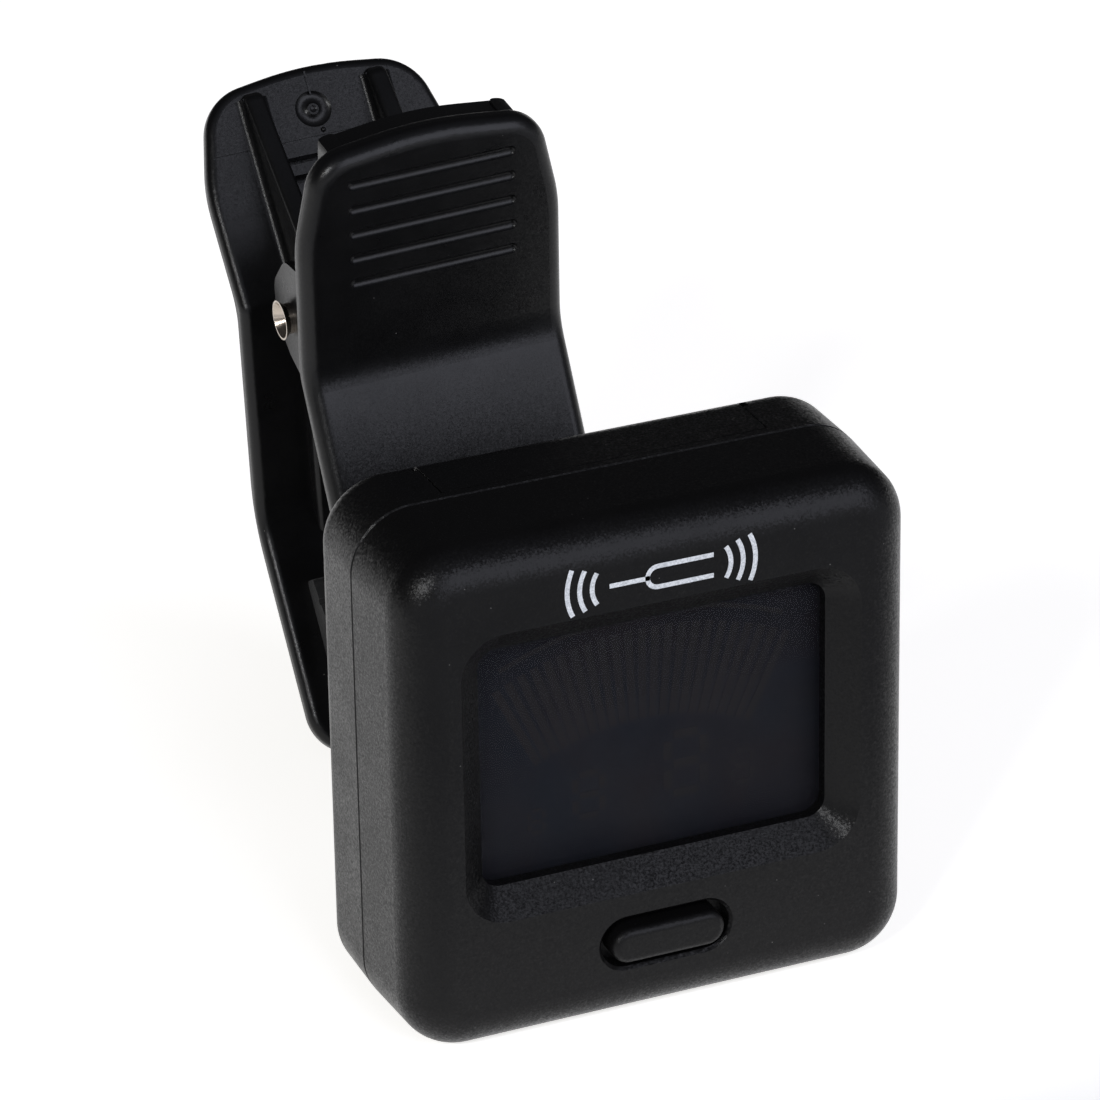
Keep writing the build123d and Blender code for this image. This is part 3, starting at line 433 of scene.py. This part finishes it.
def surroundings():
    """A dim room, a little brighter and bluer in front of the object, and pale along the horizon."""
    world = bpy.data.worlds.new("room")
    bpy.context.scene.world = world
    world.use_nodes = True
    tree = world.node_tree
    background = tree.nodes["Background"]
    direction = add(tree, "ShaderNodeTexCoord").outputs["Generated"]
    ahead = (0.25, -0.85, 0.45)
    share = ramp(tree, likeness(tree, direction, ahead), 0.2, 1.0, 0.0, 1.0)
    colour = mixed(tree, share, (0.045, 0.045, 0.047, 1), (0.30, 0.31, 0.36, 1))
    height = add(tree, "ShaderNodeSeparateXYZ", {0: direction}).outputs["Z"]
    low = ramp(tree, calculate(tree, "ABSOLUTE", height, 0.0), 0.02, 0.07, 1.0, 0.0)
    colour = mixed(tree, low, colour, (0.85, 0.85, 0.86, 1))
    tree.links.new(colour, background.inputs["Color"])
    background.inputs["Strength"].default_value = 1.0


def light():
    """A large bluish panel in front, two small lamps at the left, and the room."""
    softbox("front_panel", (0.32, -0.84, 0.50), distance=1.3, width=1.3, height=0.95,
            radiance=2.7, colour=(0.86, 0.88, 1.0))
    softbox("left_key", (-0.62, -0.59, 0.52), distance=1.2, width=0.19, height=0.19,
            radiance=48.0, colour=(0.97, 0.98, 1.0))
    softbox("left_second", (-0.80, -0.42, 0.46), distance=1.2, width=0.11, height=0.17,
            radiance=30.0, colour=(1.0, 0.98, 0.95))
    surroundings()
    bpy.context.scene.view_settings.view_transform = "Standard"


# ---------------------------------------------------------------- finishes for the carried-over nodes
STEEL = (0.55, 0.55, 0.57)
BLACK = (0.0028, 0.0027, 0.0028)
BUTTON_BLACK = (0.0030, 0.0029, 0.0030)
CLIP_BLACK = (0.0026, 0.0026, 0.0028)
ARM_BLACK = (0.006, 0.006, 0.0063)


def finishes():
    """One material for each of the record's material slots."""
    return {
        "cover_plastic": moulded(
            "cover_plastic", BLACK, roughness=0.33, specular=0.165,
            sparkle=0.10, lumps=0.46, relief=0.004 * MM,
        ),
        "clip_plastic": moulded(
            "clip_plastic", CLIP_BLACK, roughness=0.30, specular=0.23,
            sparkle=0.05, lumps=0.10, relief=0.0012 * MM,
        ),
        "button_plastic": moulded(
            "button_plastic", BUTTON_BLACK, roughness=0.38, specular=0.16,
            sparkle=0.11, lumps=0.4, relief=0.004 * MM,
        ),
        "arm_plastic": moulded(
            "arm_plastic", ARM_BLACK, roughness=0.34, specular=0.25,
            sparkle=0.04, lumps=0.08, relief=0.001 * MM,
        ),
        "lens_acrylic": clear_window(),
        "lcd_glass": display_glass(),
        "white_plastic": tinted("white_plastic", (0.75, 0.76, 0.74), 0.3, 5 * MM, 0.003 * MM, contrast=0.06),
        "led": tinted("led", (0.75, 0.66, 0.32), 0.25, 0.5 * MM, 0.003 * MM, contrast=0.2),
        "zebra_rubber": striped_rubber(),
        "board": solder_mask(),
        "chip": tinted("chip", (0.02, 0.02, 0.021), 0.5, 1.2 * MM, 0.006 * MM, 0.35),
        "tinned_metal": metal("tinned_metal", (0.62, 0.61, 0.58), 0.32, (1, 1, 0.2), 0.5),
        "contact_metal": metal("contact_metal", (0.66, 0.64, 0.60), 0.25, (1, 0.2, 1), 0.35),
        "cell_metal": metal("cell_metal", (0.68, 0.68, 0.67), 0.2, (0.15, 1, 1), 0.2),
        "piezo_brass": metal("piezo_brass", (0.78, 0.57, 0.27), 0.24, (1, 1, 0.3), 0.4),
        "ceramic": tinted("ceramic", (0.66, 0.64, 0.58), 0.35, 0.6 * MM, 0.003 * MM, contrast=0.12),
        "steel": metal("steel", STEEL, 0.3, (0.3, 1, 0.3), 0.3),
        "nickel": metal("nickel", (0.46, 0.40, 0.34), 0.2, (0.4, 1, 1), 0.25, 0.001 * MM),
        "spring_steel": metal("spring_steel", (0.42, 0.42, 0.43), 0.28, (1, 0.25, 0.25), 0.4),
        "pad_rubber": rubber("pad_rubber", (0.007, 0.007, 0.007)),
        "segment_film": segment_film(),
        "silver_print": silver_print(),
    }


def dress_nodes(made):
    """Every node takes the finish of its slot in the record."""
    for part in frame["record"]["subparts"]:
        node = NODES[part["node"]]
        node.data.materials.clear()
        node.data.materials.append(made[part["material_slot"]])


# ---------------------------------------------------------------- details built as meshes
def new_piece(name, vertices, faces, material, body):
    """A mesh piece that rides on a body."""
    mesh = bpy.data.meshes.new(name)
    mesh.from_pydata(vertices, [], faces)
    shell = bmesh.new()
    shell.from_mesh(mesh)
    bmesh.ops.recalc_face_normals(shell, faces=shell.faces)
    shell.to_mesh(mesh)
    shell.free()
    mesh.materials.append(material)
    made = bpy.data.objects.new(name, mesh)
    bpy.context.scene.collection.objects.link(made)
    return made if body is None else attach(made, body)


def join(parts):
    """One list of vertices and one of faces from several."""
    vertices = []
    faces = []
    for some_vertices, some_faces in parts:
        first = len(vertices)
        vertices += some_vertices
        faces += [[first + i for i in face] for face in some_faces]
    return vertices, faces


def strip(line, width, place, thickness):
    """A flat closed strip along an (x, z) line, laid on the surface that place(x, z) gives."""
    points = [Vector(point) for point in line]
    vertices = []
    for i, point in enumerate(points):
        ahead = points[min(i + 1, len(points) - 1)]
        behind = points[max(i - 1, 0)]
        run = (ahead - behind).normalized()
        aside = Vector((-run.y, run.x)) * width / 2
        for side in (aside, -aside):
            for lift in (thickness, -thickness):
                vertices.append(place(point.x + side.x, point.y + side.y, lift))
    faces = []
    for i in range(len(points) - 1):
        a = 4 * i
        faces += [(a, a + 2, a + 6, a + 4), (a + 1, a + 5, a + 7, a + 3)]
        faces += [(a, a + 4, a + 5, a + 1), (a + 2, a + 3, a + 7, a + 6)]
    last = 4 * (len(points) - 1)
    faces += [(0, 1, 3, 2), (last, last + 2, last + 3, last + 1)]
    return vertices, faces


def arc(centre, radius, start, end, steps):
    """Points round a circle between two angles in degrees, from the X direction."""
    angles = [math.radians(start + (end - start) * i / steps) for i in range(steps + 1)]
    return [(centre[0] + radius * math.cos(a), centre[1] + radius * math.sin(a)) for a in angles]


def finer(line, step):
    """The line with points added, so that no two are much further apart than a step."""
    points = []
    for a, b in zip(line, line[1:]):
        pieces = max(1, round(math.dist(a, b) / step))
        for i in range(pieces):
            share = i / pieces
            points.append((a[0] + (b[0] - a[0]) * share, a[1] + (b[1] - a[1]) * share))
    return points + [line[-1]]


def head_mark():
    """A printed tuning fork with sound arcs at both sides, above the display."""
    cover = NODES["front_cover"]
    corners = [cover.matrix_world @ vertex.co for vertex in cover.data.vertices]
    skin = BVHTree.FromPolygons(corners, [tuple(face.vertices) for face in cover.data.polygons])

    def on_skin(x, z, lift):
        start = Vector((HEAD_X + x * MM, FRONT_Y - 5 * MM, HEAD_Z + z * MM))
        hit, normal, _, _ = skin.ray_cast(start, Vector((0, 1, 0)))
        return hit + normal * lift

    middle = 16.35  # height above the head's middle, in millimetres as are all places here
    prong = 0.85  # half the fork's width
    tip, straight_end, bow = 4.1, -0.2, -0.4
    stem_end = -4.3
    stroke = 0.38
    ink = 0.015 * MM
    fork = [(tip, middle + prong), (straight_end, middle + prong)]
    fork += arc((bow, middle), prong, 90, 270, 14)
    fork += [(straight_end, middle - prong), (tip, middle - prong)]
    lines = [fork, [(bow - prong + stroke / 2, middle), (stem_end, middle)]]
    for x, way in ((3.2, 0), (-3.4, 180)):
        for radius, half in ((2.3, 34), (3.3, 30), (4.3, 26)):
            lines.append(arc((x, middle), radius, way - half, way + half, 12))
    spread = [strip(finer(line, 0.3), stroke, on_skin, ink) for line in lines]
    new_piece("head_mark", *join(spread), FINISHES["silver_print"], "head")


# left edge, foot, width and height of each figure, in millimetres from the display's middle
FIGURES = (
    (2.0, -6.6, 3.0, 5.0),
    (7.4, -6.9, 1.6, 2.8),
    (-5.6, -6.9, 2.2, 3.6),
    (-9.4, -7.4, 1.2, 1.9),
)


def figure_strokes(x, foot, width, height):
    """The middle lines of a figure's seven segments."""
    gap = 0.16 * width
    half = height / 2
    strokes = [[(x + gap, level), (x + width - gap, level)] for level in (foot, foot + half, foot + height)]
    for side in (x, x + width):
        for bottom in (foot, foot + half):
            strokes.append([(side, bottom + gap), (side, bottom + half - gap)])
    return strokes


def display_segments():
    """The unlit segments: a fan of bars under an arc, and figures below it."""
    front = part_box("lcd_panel")[0].y
    clear = 0.012 * MM
    thickness = 0.018 * MM
    fan_z = -19.2  # the fan's centre, below the display's middle
    half_fan = 26
    bar_ends = (19.6, 27.2)
    bars = 23
    rim_radius = 28.5

    def on_glass(x, z, lift):
        return Vector((HEAD_X + x * MM, front - clear - lift, WINDOW_Z + z * MM))

    rim = arc((0, fan_z), rim_radius, 90 - half_fan + 2, 90 + half_fan - 2, 40)
    parts = [strip(rim, 0.4, on_glass, thickness)]
    for i in range(bars):
        angle = math.radians(90 + half_fan * (2 * i / (bars - 1) - 1))
        ends = [(radius * math.cos(angle), fan_z + radius * math.sin(angle)) for radius in bar_ends]
        parts.append(strip(ends, 0.62, on_glass, thickness))
    for x, foot, width, height in FIGURES:
        for ends in figure_strokes(x, foot, width, height):
            parts.append(strip(ends, 0.14 * height, on_glass, thickness))
    new_piece("display_segments", *join(parts), FINISHES["segment_film"], "head")


def wire(path, radius, sides=14):
    """A closed round wire along a path of points."""
    vertices = []
    across = (path[1] - path[0]).orthogonal().normalized()
    for i, point in enumerate(path):
        run = (path[min(i + 1, len(path) - 1)] - path[max(i - 1, 0)]).normalized()
        across = (across - run * across.dot(run)).normalized()
        other = run.cross(across)
        for j in range(sides):
            angle = 2 * math.pi * j / sides
            vertices.append(point + radius * (math.cos(angle) * across + math.sin(angle) * other))
    faces = []
    for i in range(len(path) - 1):
        for j in range(sides):
            a, b = sides * i + j, sides * i + (j + 1) % sides
            faces.append((a, b, b + sides, a + sides))
    faces.append(tuple(range(sides)))
    faces.append(tuple(sides * (len(path) - 1) + j for j in range(sides)))
    return vertices, faces


def spring_leg_ends(to_clip):
    """The middles of the two legs' far ends on the plain spring that came with the frame."""
    plain = NODES["torsion_spring"]
    points = [to_clip @ (plain.matrix_world @ vertex.co - HINGE) for vertex in plain.data.vertices]
    ends = []
    for side in (-1, 1):
        far = [point for point in points if side * point.x > 0 and point.yz.length > LEG_REACH]
        ends.append(sum(far, Vector()) / len(far))
    return ends


def clip_spring():
    """The clip's spring as one wound wire: a leg on each lever and a close coil round the rivet."""
    from_clip = Vector((1, 0, 0)).rotation_difference(HINGE_AXIS)
    leg_ends = spring_leg_ends(from_clip.inverted())
    angles = []
    for end, way in zip(leg_ends, (1, -1)):
        angles.append(math.atan2(end.z, end.y) + way * math.acos(COIL_RADIUS / end.yz.length))
    start = angles[0]
    turned = angles[1] + WHOLE_TURNS * 2 * math.pi - start
    steps = 220
    points = [leg_ends[0]]
    for i in range(steps + 1):
        share = i / steps
        angle = start + turned * share
        across = leg_ends[0].x + (leg_ends[1].x - leg_ends[0].x) * share
        points.append(Vector((across, COIL_RADIUS * math.cos(angle), COIL_RADIUS * math.sin(angle))))
    points.append(leg_ends[1])
    path = [HINGE + from_clip @ point for point in points]
    spring = new_piece("clip_spring", *wire(path, SPRING_WIRE / 2), FINISHES["spring_steel"], None)
    for face in spring.data.polygons:
        face.use_smooth = True
    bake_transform(spring)
    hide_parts("torsion_spring")


camera()
floor()
light()
FINISHES = finishes()
dress_nodes(FINISHES)
head_mark()
display_segments()
clip_spring()
